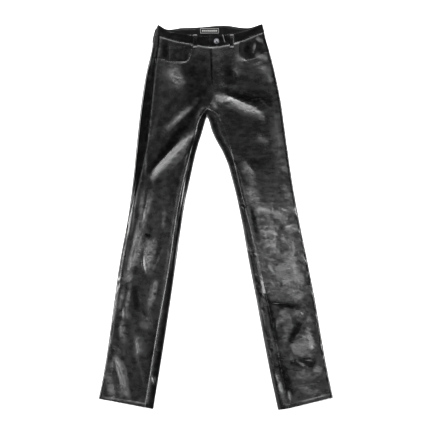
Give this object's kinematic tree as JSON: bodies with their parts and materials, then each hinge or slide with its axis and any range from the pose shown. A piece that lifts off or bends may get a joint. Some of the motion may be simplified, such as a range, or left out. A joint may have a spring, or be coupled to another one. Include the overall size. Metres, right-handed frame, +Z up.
{
  "type": "leather trousers",
  "caption": "Slim straight black leather trousers with front and back pockets, closed and laid out flat front side up, as a prop on a table, shelf or floor.",
  "frame": {"origin": "on the surface they lie on, at the middle of the garment's outline", "axes": "+Z up from the surface, +Y along the garment from the hems to the waist, +X across it to the wearer's left"},
  "size_m": [0.691, 1.138, 0.0125],
  "materials": {
    "leather": "glossy black, softly creased",
    "facing": "satin black",
    "metal": "dark polished",
    "woven": "matte woven"
  },
  "bodies": {
    "root": {"front_right": "leather", "front_left": "leather", "back_right": "leather", "back_left": "leather", "yoke_right": "leather", "yoke_left": "leather", "waistband_back": "leather", "waistband_facing": "facing", "waistband_right": "leather", "waistband_left": "leather", "pocket_facing_right": "facing", "pocket_facing_left": "facing", "coin_pocket": "facing", "back_pocket_right": "leather", "back_pocket_left": "leather", "belt_loop_front_right": "leather", "belt_loop_front_left": "leather", "belt_loop_side_right": "leather", "belt_loop_back_centre": "leather", "belt_loop_back_left": "leather", "button": "metal", "label": "woven"}
  },
  "joints": []
}
